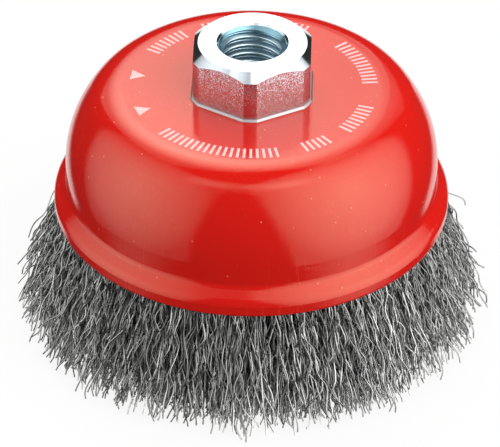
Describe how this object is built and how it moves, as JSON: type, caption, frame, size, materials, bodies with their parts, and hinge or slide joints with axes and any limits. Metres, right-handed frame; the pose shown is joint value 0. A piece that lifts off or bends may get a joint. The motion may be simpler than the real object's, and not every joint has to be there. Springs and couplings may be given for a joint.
{
  "type": "wire cup brush",
  "caption": "Cup brush of crimped steel wire for an angle grinder: pressed steel cup, hexagon nut with a threaded bore, flared skirt of wires.",
  "frame": {"origin": "on the brush's axis, in the plane of the wire ends", "axes": "+Z along the axis, from the wire ends up out of the nut; a corner of the nut points along -Y"},
  "size_m": [0.1, 0.1, 0.0639],
  "materials": {
    "red_enamel": "gloss red enamel",
    "zinc_plate": "bright zinc plate",
    "bare_plate": "pressed sheet steel",
    "ring_steel": "drawn steel wire",
    "crimped_wire": "drawn, crimped steel wire"
  },
  "bodies": {
    "root": {"cup": "red_enamel", "hub_nut": "zinc_plate", "clamping_plate": "bare_plate", "holding_ring": "ring_steel", "wire_fill": "crimped_wire"}
  },
  "joints": []
}
